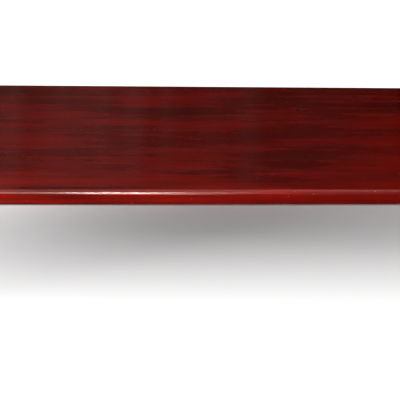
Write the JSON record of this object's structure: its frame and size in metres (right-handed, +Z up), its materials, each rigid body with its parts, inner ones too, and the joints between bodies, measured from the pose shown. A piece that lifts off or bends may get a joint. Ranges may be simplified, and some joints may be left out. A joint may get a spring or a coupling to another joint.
{
  "type": "wooden toboggan",
  "caption": "Wooden toboggan: a flat deck of tongue-and-groove boards bent up into a curl at the front, bolted to crosspieces and to a pair of bars at the curl's tip.",
  "frame": {"origin": "on the running surface, in the middle of the overall length and width", "axes": "+X towards the tail, with the curl at -X; +Y across the deck, to the rider's right; +Z up from the running surface"},
  "size_m": [1.5, 0.4, 0.3173],
  "materials": {
    "deck_wood": "deep red-brown stain under gloss varnish",
    "bar_wood": "deep red-brown stain under gloss varnish",
    "brass_fasteners": "turned brass, slightly dulled",
    "brass_eyelets": "rolled brass, slightly dulled"
  },
  "bodies": {
    "root": {"deck_board_1": "deck_wood", "deck_board_2": "deck_wood", "deck_board_3": "deck_wood", "deck_board_4": "deck_wood", "deck_board_5": "deck_wood", "deck_board_6": "deck_wood", "deck_board_7": "deck_wood", "deck_board_8": "deck_wood", "front_crosspiece": "bar_wood", "middle_crosspiece": "bar_wood", "tail_crosspiece": "bar_wood", "nose_bar_outer": "bar_wood", "nose_bar_inner": "bar_wood", "front_crosspiece_bolts": "brass_fasteners", "middle_crosspiece_bolts": "brass_fasteners", "tail_crosspiece_bolts": "brass_fasteners", "nose_bar_bolts": "brass_fasteners", "front_crosspiece_washers": "brass_fasteners", "middle_crosspiece_washers": "brass_fasteners", "tail_crosspiece_washers": "brass_fasteners", "nose_bar_washers": "brass_fasteners", "front_crosspiece_nuts": "brass_fasteners", "middle_crosspiece_nuts": "brass_fasteners", "tail_crosspiece_nuts": "brass_fasteners", "nose_bar_nuts": "brass_fasteners", "left_rope_eyelet": "brass_eyelets", "right_rope_eyelet": "brass_eyelets"}
  },
  "joints": []
}
